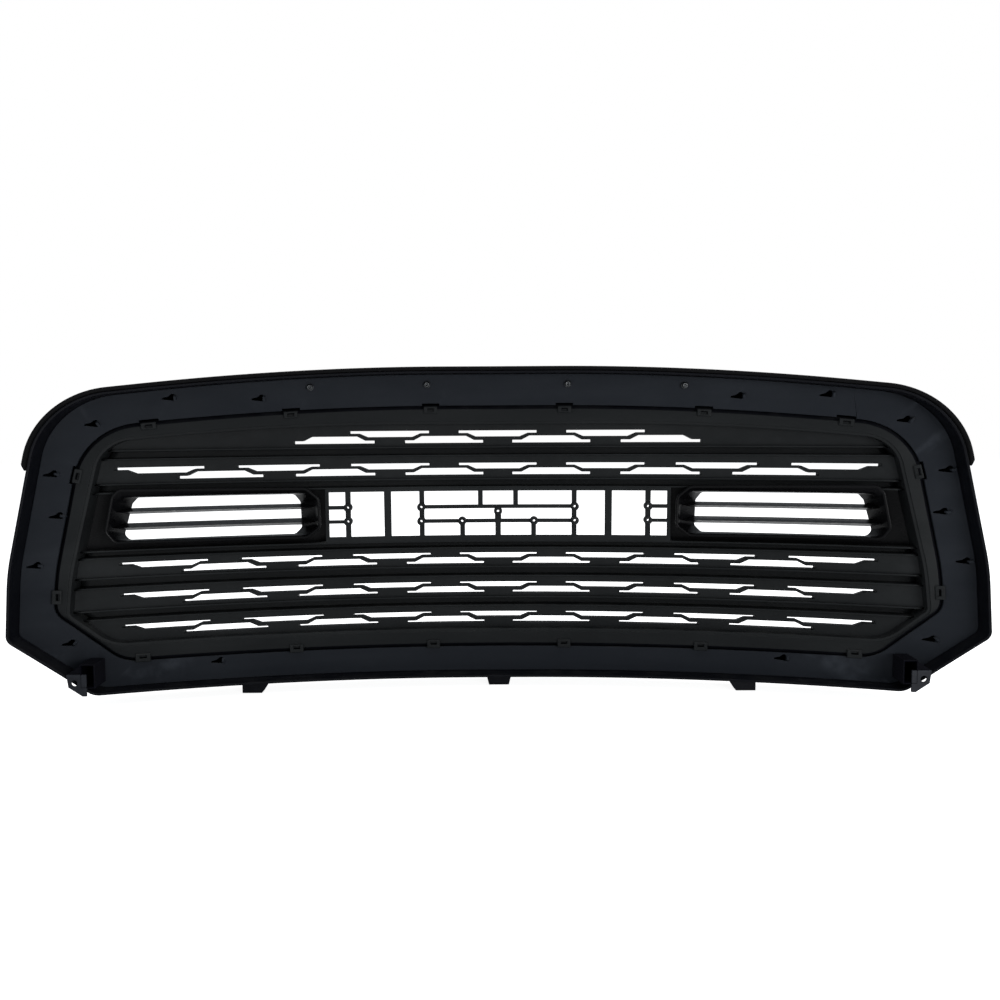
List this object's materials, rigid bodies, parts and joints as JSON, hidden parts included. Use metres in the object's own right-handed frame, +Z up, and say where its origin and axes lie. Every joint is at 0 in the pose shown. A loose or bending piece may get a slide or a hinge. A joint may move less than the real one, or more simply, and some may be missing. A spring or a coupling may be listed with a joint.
{
  "type": "pickup truck front grille",
  "caption": "Bowed front grille of a full-size pickup: crowned surround, slotted rows between channel bars, side vents with slats and an openwork badge carrier, black plastic.",
  "frame": {"origin": "middle of the underside of the centre locating tab, on the grille's symmetry plane", "axes": "+X towards the vehicle's left side, +Y towards the engine (rear of the grille), +Z up; the road-facing side looks along -Y"},
  "size_m": [1.109, 0.1933, 0.396],
  "materials": {
    "cover_plastic": "fine grain, semi-matte black",
    "panel_plastic": "as-moulded, matte dark grey with a blue cast",
    "insert_plastic": "as-moulded, satin black",
    "vent_plastic": "gloss black",
    "trim_rubber": "matt black, finely pitted",
    "bracket_steel": "sheet steel with a dark grey coating",
    "screw_steel": "zinc plated steel"
  },
  "bodies": {
    "root": {"badge_carrier": "insert_plastic", "channel_bar_1": "insert_plastic", "channel_bar_2": "insert_plastic", "channel_bar_3": "insert_plastic", "channel_bar_4": "insert_plastic", "channel_bar_5": "insert_plastic", "hood_edge_trim": "trim_rubber", "insert_border": "insert_plastic", "insert_clip_left_1": "insert_plastic", "insert_clip_left_2": "insert_plastic", "insert_clip_left_3": "insert_plastic", "insert_clip_left_4": "insert_plastic", "insert_clip_left_5": "insert_plastic", "insert_clip_left_6": "insert_plastic", "insert_clip_left_7": "insert_plastic", "insert_clip_left_8": "insert_plastic", "insert_clip_right_1": "insert_plastic", "insert_clip_right_2": "insert_plastic", "insert_clip_right_3": "insert_plastic", "insert_clip_right_4": "insert_plastic", "insert_clip_right_5": "insert_plastic", "insert_clip_right_6": "insert_plastic", "insert_clip_right_7": "insert_plastic", "insert_clip_right_8": "insert_plastic", "locating_tab_centre": "cover_plastic", "locating_tab_left": "cover_plastic", "locating_tab_right": "cover_plastic", "lower_bracket_left": "bracket_steel", "lower_bracket_right": "bracket_steel", "slot_row_1": "insert_plastic", "slot_row_2": "insert_plastic", "slot_row_3": "insert_plastic", "slot_row_4": "insert_plastic", "slot_row_5": "insert_plastic", "surround_cover": "cover_plastic", "surround_panel": "panel_plastic", "trim_screw_left_1": "screw_steel", "trim_screw_left_2": "screw_steel", "trim_screw_right_1": "screw_steel", "trim_screw_right_2": "screw_steel", "vent_bezel_left": "vent_plastic", "vent_bezel_right": "vent_plastic", "vent_slat_left_1": "vent_plastic", "vent_slat_left_2": "vent_plastic", "vent_slat_right_1": "vent_plastic", "vent_slat_right_2": "vent_plastic"}
  },
  "joints": []
}
